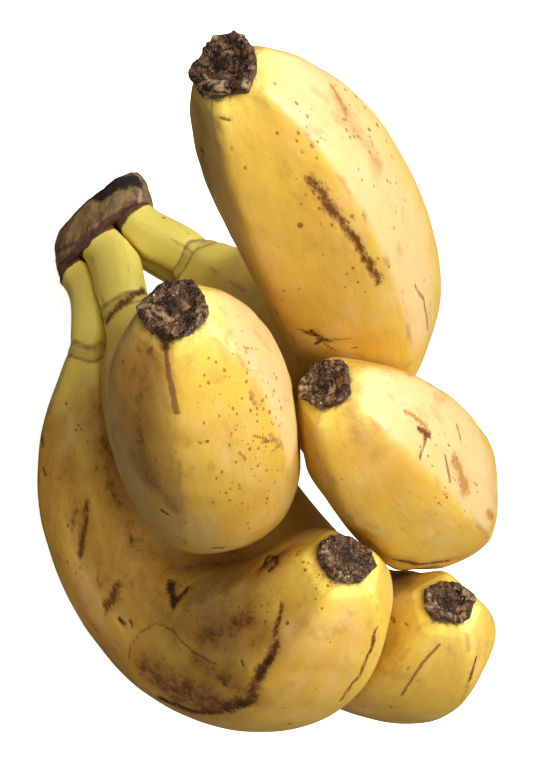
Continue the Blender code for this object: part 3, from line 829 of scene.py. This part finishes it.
class Shade:
    """Short ways to add and link shader nodes in one material."""

    # The mix node's sockets for colours
    UNDER, OVER, MIXED = 6, 7, 2

    def __init__(self, name, roughness=0.5):
        self.material = bpy.data.materials.new(name)
        self.material.use_nodes = True
        self.nodes = self.material.node_tree.nodes
        self.links = self.material.node_tree.links
        self.shader = self.nodes["Principled BSDF"]
        self.shader.inputs["Roughness"].default_value = roughness

    def put(self, socket, value):
        """Links another node's output to a socket, or sets the socket to a value."""
        if isinstance(value, bpy.types.NodeSocket):
            self.links.new(value, socket)
        else:
            socket.default_value = value

    def add(self, kind, inputs, **settings):
        """The outputs of a new node with these settings and inputs, by name or by number."""
        node = self.nodes.new("ShaderNode" + kind)
        for setting, value in settings.items():
            setattr(node, setting, value)
        for socket, value in inputs.items():
            self.put(node.inputs[socket], value)
        return node.outputs

    def field(self, name):
        return self.add("Attribute", {}, attribute_name=name)["Fac"]

    def places(self, name):
        return self.add("Attribute", {}, attribute_name=name)["Vector"]

    def stretched(self, place, size):
        """The place divided by a size in mm, one number or one for each axis."""
        size = size if isinstance(size, tuple) else (size, size, size)
        return self.add("VectorMath", {0: place, 1: size}, operation="DIVIDE")[0]

    def noise(self, place, size, detail=3.0, roughness=0.55, distortion=0.0):
        inputs = {
            "Vector": self.stretched(place, size), "Scale": 1.0, "Detail": detail,
            "Roughness": roughness, "Distortion": distortion,
        }
        return self.add("TexNoise", inputs)["Fac"]

    def cells(self, place, size, feature="F1"):
        """The distance to the nearest of scattered points, and a random colour for each."""
        inputs = {"Vector": self.stretched(place, size), "Scale": 1.0}
        return self.add("TexVoronoi", inputs, feature=feature)

    def math(self, operation, a, b):
        return self.add("Math", {0: a, 1: b}, operation=operation)[0]

    def sum(self, a, b):
        return self.math("ADD", a, b)

    def less(self, a, b):
        return self.math("SUBTRACT", a, b)

    def times(self, a, b):
        return self.math("MULTIPLY", a, b)

    def most(self, first, *others):
        for other in others:
            first = self.math("MAXIMUM", first, other)
        return first

    def step(self, value, low, high, bottom=0.0, top=1.0):
        """An S curve from bottom to top as the value goes from low to high."""
        inputs = {
            "Value": value, "From Min": low, "From Max": high, "To Min": bottom, "To Max": top,
        }
        return self.add("MapRange", inputs, interpolation_type="SMOOTHSTEP")["Result"]

    def blend(self, under, over, share, mode="MIX"):
        """One colour over another, each a node's output or three numbers."""
        under, over = (
            colour if isinstance(colour, bpy.types.NodeSocket) else (*colour, 1)
            for colour in (under, over)
        )
        inputs = {0: share, self.UNDER: under, self.OVER: over}
        return self.add("Mix", inputs, data_type="RGBA", blend_type=mode)[self.MIXED]

    def paint(self, under, over, share, strength):
        """One colour over another where share is, at most as strongly as strength."""
        return self.blend(under, over, self.times(share, strength))

    def finish(self, colour, roughness, height):
        """Links the colour, the roughness and a bump of the given height in mm."""
        bump = self.add("Bump", {"Distance": MM, "Height": height})
        inputs = {"Base Color": colour, "Roughness": roughness, "Normal": bump["Normal"]}
        for name, value in inputs.items():
            self.put(self.shader.inputs[name], value)
        return self.material


# Colours of the peel, linear
PEEL_YELLOW = (0.78, 0.53, 0.068)
PEEL_DEEP = (0.70, 0.42, 0.045)
PEEL_PALE = (0.86, 0.65, 0.33)
# Painted highlight: the cream of the key light's sheen
PAINTED_HIGHLIGHT_CREAM = (0.84, 0.60, 0.33)
PEEL_GREEN = (0.87, 0.76, 0.15)
FIBRE_DULL = (0.6, 0.55, 0.45)
FIBRE_BRIGHT = (1.15, 1.12, 1.05)
BLOTCH = (0.40, 0.21, 0.05)
# Brown haze, partly mottling and partly painted shade
HAZE_AND_SHADE = (0.37, 0.18, 0.045)
GRIME = (0.10, 0.042, 0.018)
CREST_BROWN = (0.34, 0.17, 0.045)
# Painted shadow where one fruit tucks under another
SHADOW_GREY_BROWN = (0.30, 0.165, 0.06)
LINE_BROWN = (0.22, 0.09, 0.03)
RING_BROWN = (0.21, 0.095, 0.033)
ROOT_BROWN = (0.11, 0.055, 0.035)
TIP_BROWN = (0.06, 0.032, 0.02)

# Specks: cell size in mm, radius as a share of it, what crowding adds to the chance of one,
# the chance elsewhere, colour and strength; streaks, then dense, tiny and small ones
PEEL_SPECKS = (
    ((1.5, 1.5, 9.0), 0.20, 0.0, 0.05, (0.34, 0.14, 0.03), 0.6),
    ((0.95, 0.95, 1.9), 0.31, 1.1, 0.0, (0.32, 0.12, 0.02), 0.85),
    ((1.5, 1.5, 1.9), 0.22, 0.5, 0.05, (0.20, 0.08, 0.02), 0.75),
    ((3.4, 3.4, 4.4), 0.15, 0.3, 0.14, (0.17, 0.075, 0.028), 0.85),
)
LEAST_SPECK = 0.35
SPECK_EDGE = 0.45

# Stains: the kind of mark, the size of its ragged edge in mm, and its colours there and inside
PEEL_STAINS = (
    ("tan", 0.9, (0.58, 0.34, 0.09), (0.42, 0.21, 0.06)),
    ("bruise", (0.6, 0.6, 1.8), (0.40, 0.17, 0.050), (0.105, 0.036, 0.014)),
    ("dark", 0.8, (0.22, 0.09, 0.03), (0.035, 0.020, 0.014)),
)
CROWN_STAINS = (
    ("tan", 0.8, (0.40, 0.25, 0.18), (0.48, 0.32, 0.25)),
    ("bruise", 1.0, (0.12, 0.06, 0.045), (0.055, 0.028, 0.024)),
    ("dark", 1.2, (0.055, 0.030, 0.022), (0.012, 0.008, 0.007)),
)
RAGGED_EDGE = 0.35

# How tall the peel's fine relief is in its bump, in mm, and how strongly it shines
FIBRE_HEIGHT = 0.06
PORE_HEIGHT = 0.025
UNEVEN_HEIGHT = 0.35
FLAKE_HEIGHT = 0.18
PEEL_IOR = 1.62

# Colours of the dried blossom ends and of the crown
CRUST_BLACK = (0.013, 0.007, 0.006)
CRUST_BROWN = (0.145, 0.078, 0.048)
CRUST_PALE = (0.43, 0.30, 0.19)
CRUST_FIBRE = (0.46, 0.34, 0.23)
CRUST_HEART = (0.012, 0.008, 0.007)
CRUST_WHITE = (0.62, 0.54, 0.46)
CRUST_FOOT = (0.10, 0.055, 0.022)
CORK_DARK = (0.105, 0.062, 0.036)
CORK_PALE = (0.32, 0.20, 0.105)
CORK_CREST = (0.33, 0.22, 0.12)
CORK_OLIVE = (0.21, 0.17, 0.055)
CORK_SCUFF = (0.24, 0.18, 0.065)
CORK_RIM = (0.060, 0.030, 0.026)
FACE_PALE = (0.30, 0.20, 0.11)
FACE_BROWN = (0.12, 0.070, 0.040)
FACE_STAIN = (0.05, 0.03, 0.022)


def ragged(shade, field, place, size, reach, hardness):
    """A mark's field broken up by noise: 1 where skin is marked, 0 where it isn't."""
    rough = shade.noise(place, size, detail=6.0, roughness=0.75, distortion=0.3)
    rough = shade.times(shade.less(rough, 0.5), reach)
    there = shade.step(field, 0.0, 0.15)
    edge = RAGGED_EDGE
    return shade.times(shade.step(shade.sum(field, rough), edge, edge + hardness), there)


def stained(shade, colour, place, stains):
    """The colour with marks over it, paler at their ragged edges, and their dark hearts."""
    hearts = []
    for kind, size, halo, core in stains:
        field = shade.field(kind)
        edge = ragged(shade, field, place, size, 1.4, 0.7)
        heart = ragged(shade, shade.less(field, 0.12), place, size, 1.3, 0.5)
        colour = shade.paint(colour, halo, edge, 0.75)
        colour = shade.paint(colour, core, heart, 0.92)
        hearts.append(heart)
    return colour, hearts


def specks(shade, place, size, radius, chance):
    """Scattered round specks: each cell holds one only where its random value is low."""
    cell = shade.cells(place, size)
    chosen, bigger, _ = shade.add("SeparateColor", {0: cell["Color"]})
    own_radius = shade.times(shade.sum(bigger, LEAST_SPECK), radius)
    dot = shade.step(shade.less(own_radius, cell["Distance"]), 0.0, radius * SPECK_EDGE)
    return shade.times(dot, shade.math("LESS_THAN", chosen, chance))


def peel_material():
    """Ripe banana peel: yellow, fibrous, greener at the ends, with specks and bruises."""
    shade = Shade("peel")
    place = shade.places("straight")
    to_tip = shade.field("to_tip")

    broad = shade.noise(place, (24.0, 24.0, 40.0), detail=2.0)
    colour = shade.blend(PEEL_YELLOW, PEEL_DEEP, shade.step(broad, 0.42, 0.72))
    light = shade.noise(place, (9.0, 9.0, 26.0), detail=3.0)
    colour = shade.blend(colour, PEEL_PALE, shade.step(light, 0.48, 0.80, 0.0, 0.55))

    # Painted highlight: a cream sheen painted on the facets that face the key light
    painted_highlight = shade.step(shade.sum(shade.field("painted_highlight"), shade.times(light, 0.5)), 0.1, 0.9)
    colour = shade.paint(colour, PAINTED_HIGHLIGHT_CREAM, painted_highlight, 0.75)

    neck_green = shade.step(shade.field("along"), 22.0, -4.0)
    tip_green = shade.step(to_tip, 9.0, 0.0, 0.0, 0.55)
    patchy = shade.step(shade.noise(place, 6.0, detail=3.0), 0.2, 0.6, 0.65, 1.0)
    colour = shade.paint(colour, PEEL_GREEN, shade.most(neck_green, tip_green), patchy)

    fibre = shade.noise(place, (0.8, 0.8, 11.0), detail=4.0, roughness=0.6)
    shine = shade.blend(FIBRE_DULL, FIBRE_BRIGHT, fibre)
    colour = shade.blend(colour, shine, shade.step(neck_green, 0.0, 1.0, 0.33, 0.12), "MULTIPLY")

    blotch = shade.noise(place, (5.0, 5.0, 9.0), detail=5.0, roughness=0.65)
    tip_side = shade.step(to_tip, 60.0, 0.0, 0.0, 0.10)
    blotch = shade.step(shade.sum(blotch, tip_side), 0.60, 0.78, 0.0, 0.45)
    colour = shade.paint(colour, BLOTCH, blotch, shade.step(neck_green, 0.8, 0.2))

    # Broad brown haze that is partly mottling and partly painted shade, on the shaded sides and
    # between the fruits; the fine grime below follows the same field
    smudge_and_shade = shade.field("smudge_and_shade")
    cloudy = shade.noise(place, (5.0, 5.0, 10.0), detail=6.0, roughness=0.72)
    haze_and_shade = shade.step(shade.sum(smudge_and_shade, shade.times(cloudy, 1.2)), 0.6, 2.0, 0.0, 0.85)
    haze_and_shade = shade.times(haze_and_shade, shade.step(smudge_and_shade, 0.0, 0.5))
    colour = shade.blend(colour, HAZE_AND_SHADE, haze_and_shade)
    cloudy = shade.noise(place, (2.2, 2.2, 4.5), detail=8.0, roughness=0.78, distortion=0.5)
    grime = shade.step(shade.sum(smudge_and_shade, shade.times(cloudy, 3.0)), 2.52, 3.15, 0.0, 0.85)
    colour = shade.paint(colour, GRIME, grime, shade.step(smudge_and_shade, 0.0, 0.4))

    crowd = shade.field("speckle")
    dots = []
    for size, radius, crowding, chance, brown, strength in PEEL_SPECKS:
        chance = shade.sum(shade.times(crowd, crowding), chance)
        dots.append(specks(shade, place, size, radius, chance))
        colour = shade.paint(colour, brown, dots[-1], strength)
    _, dense, _, small = dots

    crest = shade.step(shade.field("off_ridge"), 0.9, 0.1)
    broken = shade.noise(place, (3.0, 3.0, 8.0), detail=4.0)
    colour = shade.paint(colour, CREST_BROWN, crest, shade.step(broken, 0.50, 0.64, 0.0, 0.55))

    # On the peel the scuff marks paint the shadow where one fruit tucks under another
    scuff_and_shadow = ragged(shade, shade.field("scuff_and_shadow"), place, 1.2, 1.3, 0.5)
    colour = shade.paint(colour, SHADOW_GREY_BROWN, scuff_and_shadow, 0.6)
    line = ragged(shade, shade.field("line"), place, 0.6, 0.9, 0.3)
    colour = shade.paint(colour, LINE_BROWN, line, 0.85)
    colour, hearts = stained(shade, colour, place, PEEL_STAINS)

    ring = ragged(shade, shade.field("neck_ring"), place, (2.2, 2.2, 1.0), 1.3, 1.1)
    colour = shade.paint(colour, RING_BROWN, ring, 0.85)
    root = ragged(shade, shade.step(shade.field("from_root"), 3.2, 0.4), place, 1.5, 1.0, 0.35)
    colour = shade.blend(colour, ROOT_BROWN, root)
    tip_edge = ragged(shade, shade.step(to_tip, 2.2, 0.0), place, (0.9, 0.9, 1.6), 1.2, 0.4)
    colour = shade.paint(colour, TIP_BROWN, tip_edge, 0.9)

    dry = shade.most(root, *hearts)
    gloss = shade.noise(place, (4.0, 4.0, 12.0), detail=4.0)
    roughness = shade.sum(shade.step(gloss, 0.3, 0.7, 0.44, 0.56), shade.times(dry, 0.25))
    pores = shade.noise(place, 0.45, detail=2.0)
    uneven = shade.noise(place, (6.0, 6.0, 14.0), detail=2.0)
    flaky = shade.times(shade.noise(place, 0.7, detail=4.0), dry)
    height = shade.times(fibre, FIBRE_HEIGHT)
    for bumps, tall in ((pores, PORE_HEIGHT), (uneven, UNEVEN_HEIGHT), (flaky, FLAKE_HEIGHT)):
        height = shade.sum(height, shade.times(bumps, tall))
    spotted = shade.most(dry, haze_and_shade, shade.sum(small, dense))
    level = shade.step(spotted, 0.0, 0.8, 1.0, 0.15)
    shade.put(shade.shader.inputs["Specular IOR Level"], level)
    shade.shader.inputs["IOR"].default_value = PEEL_IOR
    return shade.finish(colour, roughness, height)


def swept(profile, rings):
    """The two measures of a profile's rows (share of the way, measure, measure) at each ring."""
    share = np.linspace(0, 1, rings)
    return share, *(smooth_through([(row[0], row[k]) for row in profile], share) for k in (1, 2))


def scar_mesh(name, peel, place, material):
    """The crusty dried flower scar on one tip: a lobed rim round a hollow with a knob."""
    scar = SCARS[name]
    spine = peel.spine
    centre, aim, hinge, half = (value[-1] for value in spine.at(np.array([spine.fruit.length])))
    side = np.cross(aim, hinge)
    angles = np.linspace(0, 2 * pi, SCAR_SIDES, endpoint=False)
    outline = facet_outlines(angles, np.array([SCAR_SHARPNESS]), peel.ridges)[0]
    lobes = np.stack([np.cos(angles), np.sin(angles), angles * 0], axis=1)
    outline = outline + SCAR_LOBES * layered_grain(lobes, 0.55, peel.seed + 50)
    corner = np.zeros(SCAR_SIDES)
    for degrees, reach in scar.corners:
        gap = np.abs((angles - radians(degrees) + pi) % (2 * pi) - pi)
        corner += (reach - 1) * np.exp(-gap / SCAR_CORNER_WIDTH)
    edge = half * scar.width * (outline + corner)

    profile = (
        (0.00, 0.80, -2.0), (0.10, 0.98, -0.5), (0.22, 1.05, 0.32 * scar.rise),
        (0.36, 1.04, 0.80 * scar.rise), (0.46, 0.95, scar.rise), (0.58, 0.78, 0.92 * scar.rise),
        (0.72, 0.52, scar.rise - scar.hollow), (0.84, 0.28, scar.rise - 0.9 * scar.hollow),
        (0.94, 0.12, scar.rise - scar.hollow + scar.knob),
        (1.00, 0.02, scar.rise - scar.hollow + 0.8 * scar.knob),
    )
    _, wide, out = swept(profile, SCAR_RINGS)
    reach = wide[:, None] * edge[None]
    flat = np.stack(
        [reach * np.cos(angles), reach * np.sin(angles), np.repeat(out[:, None], SCAR_SIDES, 1)],
        axis=2,
    ).reshape(-1, 3)
    turn = np.tile(angles, SCAR_RINGS)
    radial = np.repeat(wide, SCAR_SIDES)
    seed = peel.seed + 40
    many, height = SCAR_FOLDS
    folds = np.cos(turn * many + 7 * grain(flat, 2.5, seed)) * height
    folds *= soft_step(radial, 0.5, 0.95)
    many, height = SCAR_SWIRLS
    swirl = np.cos(radial * many + turn + 7 * grain(flat, 2.0, seed + 1)) * height
    swirl *= soft_step(radial, 1.0, 0.7)
    height, size = SCAR_LUMPS
    lumps = height * layered_grain(flat, size, seed + 2, 4)
    height, size = SCAR_FLAKES
    flakes = height * (0.4 - np.abs(layered_grain(flat, size, seed + 3, 4)))
    raised = np.repeat(soft_step(out, -0.4, 1.0), SCAR_SIDES)
    move = (folds + swirl + lumps + flakes) * raised
    flat = moved_out(flat.reshape(SCAR_RINGS, SCAR_SIDES, 3), move)
    grid = centre + flat[..., :1] * hinge + flat[..., 1:2] * side + flat[..., 2:] * aim
    flat = flat.reshape(-1, 3)
    fields = {"radial": radial, "height": move, "foot": flat[:, 2]}
    local = flat + np.array((50.0 * peel.seed, 0, 0))
    return mesh_object("scar_" + name[-1], grid, place, fields, local, material)


def scar_material():
    """Black-brown crust with paler flaked edges, fine fibres and a few whitish specks."""
    shade = Shade("blossom_scar", 0.8)
    place = shade.places("straight")
    lumpy = shade.noise(place, 1.6, detail=5.0, roughness=0.7, distortion=0.6)
    colour = shade.blend(CRUST_BLACK, CRUST_BROWN, shade.step(lumpy, 0.42, 0.64))
    crest = shade.step(shade.field("height"), 0.12, 0.46)
    colour = shade.paint(colour, CRUST_PALE, crest, shade.step(lumpy, 0.38, 0.52))
    fibre = shade.noise(place, (0.28, 0.28, 0.9), detail=4.0)
    colour = shade.blend(colour, CRUST_FIBRE, shade.step(fibre, 0.56, 0.68, 0.0, 0.70))
    heart = shade.step(shade.field("radial"), 0.50, 0.12)
    colour = shade.paint(colour, CRUST_HEART, heart, 0.75)
    white = specks(shade, place, 0.8, 0.22, 0.12)
    colour = shade.paint(colour, CRUST_WHITE, white, 0.85)
    foot = shade.step(shade.field("foot"), 0.9, -0.3)
    colour = shade.paint(colour, CRUST_FOOT, foot, 0.6)
    height = shade.sum(shade.times(lumpy, 0.5), shade.times(fibre, 0.25))
    return shade.finish(colour, shade.step(lumpy, 0.3, 0.7, 0.42, 0.85), height)


CROWN_SIDES = 320
CROWN_RINGS = 150

# From the middle of the underside over the flank to the middle of the cut face: share of the
# way, share of the width and share of the height
CROWN_PROFILE = (
    (0.00, 0.02, 0.02), (0.12, 0.60, 0.00), (0.22, 0.95, -0.03), (0.30, 1.01, 0.06),
    (0.42, 1.03, 0.30), (0.56, 1.01, 0.60), (0.68, 0.95, 0.88), (0.75, 0.87, 0.99),
    (0.82, 0.74, 1.00), (0.92, 0.35, 0.95), (1.00, 0.01, 0.94),
)

# Relief of the crown as (height, size) in mm: cork and its layers on the flank, bundles of
# fibres on the cut face, and how far that face is dished
CROWN_CORK = (0.60, 4.0)
CROWN_LAYERS = (0.30, 5.0)
CROWN_BUNDLES = (0.35, 1.6)
CROWN_DISH = 0.7


def crown_piece(place, material):
    """The corky pad: a wavy skirt over the stalks, a rough flank and a fibrous cut face."""
    long_axis, deep_axis, growth = (np.array(axis) for axis in crown_frame())
    turn = np.linspace(0, 2 * pi, CROWN_SIDES, endpoint=False)
    square = 2 / CROWN_SQUARENESS
    across = np.sign(np.cos(turn)) * np.abs(np.cos(turn)) ** square
    along = np.sign(np.sin(turn)) * np.abs(np.sin(turn)) ** square
    wavy = 1 + 0.025 * np.sin(3 * turn + 0.7) + 0.02 * np.sin(5 * turn + 2.0)
    share, wide, level = swept(CROWN_PROFILE, CROWN_RINGS)
    x = wide[:, None] * (across * wavy)[None] * CROWN_LONG / 2
    y = wide[:, None] * (along * wavy)[None] * CROWN_DEEP / 2
    tall = CROWN_TALL * level[:, None] * (1 - CROWN_CUT_SLOPE * y / (CROWN_DEEP / 2))
    skirt = 1.0 * np.cos(turn * 7 + 0.5) + 0.5 * np.sin(turn * 13)
    low_edge = np.exp(-(((share - 0.24) / 0.06) ** 2))
    tall = tall - low_edge[:, None] * (0.5 + skirt[None] * 0.6)
    grid = (
        np.array(CROWN_FOOT)
        + (x + CROWN_LEAN * tall)[..., None] * long_axis
        + y[..., None] * deep_axis
        - tall[..., None] * growth
    )
    local = np.stack([x, y, tall], axis=2).reshape(-1, 3)
    on_face = np.repeat(soft_step(share, 0.72, 0.80), CROWN_SIDES)
    on_flank = np.repeat(soft_step(share, 0.20, 0.28), CROWN_SIDES) * (1 - on_face)
    height, size = CROWN_CORK
    cork = height * layered_grain(local, size, 71, 4) * on_flank
    height, size = CROWN_LAYERS
    layers = height * (0.35 - np.abs(layered_grain(local, size, 72, 4))) * on_flank
    height, size = CROWN_BUNDLES
    bundles = height * np.abs(layered_grain(local, size, 73)) * on_face
    dish = -CROWN_DISH * on_face * np.repeat(soft_step(share, 0.80, 1.0), CROWN_SIDES)
    move = cork + layers + bundles + dish
    grid = moved_out(grid, move)
    fields = mark_fields(grid, CROWN_MARKS, 90)
    fields |= {"face": on_face, "level": np.repeat(level, CROWN_SIDES), "height": move}
    return mesh_object("crown_pad", grid, place, fields, local, material)


def crown_material():
    """Dry cork: brown flank with paler ridges, dark edges and a tan fibrous cut face."""
    shade = Shade("crown_cork", 0.85)
    place = shade.places("straight")
    level = shade.field("level")
    cork = shade.noise(place, (2.2, 2.2, 1.8), detail=7.0, roughness=0.72, distortion=0.8)
    colour = shade.blend(CORK_DARK, CORK_PALE, shade.step(cork, 0.36, 0.64))
    crest = shade.step(shade.field("height"), 0.10, 0.7)
    colour = shade.paint(colour, CORK_CREST, crest, 0.45)
    broad = shade.noise(place, 6.0, detail=4.0)
    colour = shade.blend(colour, CORK_OLIVE, shade.step(broad, 0.52, 0.66, 0.0, 0.6))
    scuff_and_shadow = ragged(shade, shade.field("scuff_and_shadow"), place, 1.6, 1.2, 0.6)
    colour = shade.paint(colour, CORK_SCUFF, scuff_and_shadow, 0.55)
    rim = shade.most(shade.step(level, 0.22, -0.02), shade.step(level, 0.84, 0.97))
    rim = ragged(shade, rim, place, 1.8, 1.0, 0.4)
    colour = shade.paint(colour, CORK_RIM, rim, 0.85)
    bundle = shade.cells(place, 1.3, "SMOOTH_F1")["Distance"]
    face = shade.blend(FACE_PALE, FACE_BROWN, shade.step(bundle, 0.25, 0.5))
    stain = shade.noise(place, 5.0, detail=4.0)
    face = shade.blend(face, FACE_STAIN, shade.step(stain, 0.50, 0.66, 0.0, 0.8))
    colour = shade.blend(colour, face, shade.field("face"))
    colour, _ = stained(shade, colour, place, CROWN_STAINS)
    fine = shade.noise(place, 0.5, detail=4.0)
    height = shade.sum(shade.times(cork, 0.7), shade.times(fine, 0.25))
    return shade.finish(colour, shade.step(cork, 0.3, 0.7, 0.7, 0.92), height)


def layout_place(peel):
    """The matrix from the layout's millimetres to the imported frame's metres."""
    turn = Matrix.Rotation(radians(LYING_TURN[2]), 4, "Z")
    turn = turn @ Matrix.Rotation(radians(LYING_TURN[1]), 4, "Y")
    turn = turn @ Matrix.Rotation(radians(LYING_TURN[0]), 4, "X")
    points = peel.grid.reshape(-1, 3) @ np.array(turn)[:3, :3].T * MM
    low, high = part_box(peel.name)
    shift = (low + high) / 2 - Vector((points.min(0) + points.max(0)) / 2)
    return Matrix.Translation(shift) @ turn @ Matrix.Scale(MM, 4)


# The studio: soft square lights with a direction in the layout, their distance and size in
# metres and power in watts; a glowing floor as a half width in metres; and a dim warm world
KEY_LIGHT = dict(towards=(0.87, 0.26, 0.42), away=1.3, size=0.9, power=11.4, colour=(1, 1, 1))
FILL_LIGHT = dict(
    towards=(0.34, 0.06, 0.94), away=1.4, size=0.9, power=26.0, colour=(1.0, 0.92, 0.76)
)
LIGHTS_AIM_AT = Vector((0, 0, -30))
FLOOR_HALF = 12
FLOOR_BELOW = 0.0002
FLOOR_COLOUR = (0.92, 0.92, 0.92, 1.0)
FLOOR_GLOW = 0.80
WORLD_COLOUR = (1.0, 0.80, 0.58, 1.0)
WORLD_STRENGTH = 0.17


def add_camera(place):
    data = bpy.data.cameras.new("camera")
    data.sensor_width = SENSOR_MM
    data.lens = SENSOR_MM * PIXELS_PER_MM * CAMERA_AWAY / PHOTO_HEIGHT
    data.clip_start = 0.01
    camera = bpy.data.objects.new("camera", data)
    bpy.context.scene.collection.objects.link(camera)
    camera.matrix_world = Matrix.LocRotScale(
        place @ Vector((0, 0, CAMERA_AWAY)), place.to_3x3().normalized().to_quaternion(), None
    )
    bpy.context.scene.camera = camera


def add_light(name, place, towards, away, size, power, colour):
    """A square soft light, turned to the middle of the hand."""
    data = bpy.data.lights.new(name, "AREA")
    data.shape = "SQUARE"
    data.size = size
    data.energy = power
    data.color = colour
    light = bpy.data.objects.new(name, data)
    bpy.context.scene.collection.objects.link(light)
    middle = place @ LIGHTS_AIM_AT
    direction = (place.to_3x3() @ Vector(towards)).normalized()
    light.location = middle + direction * away
    light.rotation_euler = direction.to_track_quat("Z", "Y").to_euler()
    return light


def add_floor():
    data = bpy.data.meshes.new("floor")
    mesh = bmesh.new()
    bmesh.ops.create_grid(mesh, x_segments=8, y_segments=8, size=FLOOR_HALF)
    mesh.to_mesh(data)
    mesh.free()
    floor = bpy.data.objects.new("floor", data)
    floor.location.z = -FLOOR_BELOW
    bpy.context.scene.collection.objects.link(floor)
    shade = Shade("floor", 0.9)
    shade.shader.inputs["Base Color"].default_value = FLOOR_COLOUR
    shade.shader.inputs["Emission Color"].default_value = (1.0, 1.0, 1.0, 1.0)
    shade.shader.inputs["Emission Strength"].default_value = FLOOR_GLOW
    floor.visible_diffuse = False
    floor.visible_glossy = False
    data.materials.append(shade.material)
    floor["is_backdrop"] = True


def add_world():
    world = bpy.data.worlds.new("studio")
    world.use_nodes = True
    background = world.node_tree.nodes["Background"]
    background.inputs["Color"].default_value = WORLD_COLOUR
    background.inputs["Strength"].default_value = WORLD_STRENGTH
    bpy.context.scene.world = world


def main():
    spines = {name: Spine(fruit) for name, fruit in FRUITS.items()}
    peels = {name: Peel(name, spines) for name in FRUITS}
    place = layout_place(peels["banana_a"])
    skin = peel_material()
    crust = scar_material()
    for name, peel in peels.items():
        piece = peel.build(place, skin)
        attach(piece, "root")
        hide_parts(name)
        scar = scar_mesh(name, peel, place, crust)
        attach(scar, "root")
    pad = crown_piece(place, crown_material())
    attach(pad, "root")
    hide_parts("crown")
    add_floor()
    add_world()
    add_camera(place)
    add_light("key", place, **KEY_LIGHT)
    fill = add_light("fill", place, **FILL_LIGHT)
    fill.visible_glossy = False
    bpy.context.scene.view_settings.view_transform = "Standard"


main()
sizes = {"cad": cad_box, "visual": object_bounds()}
sizes = {key: [list(corner) for corner in box] for key, box in sizes.items()}
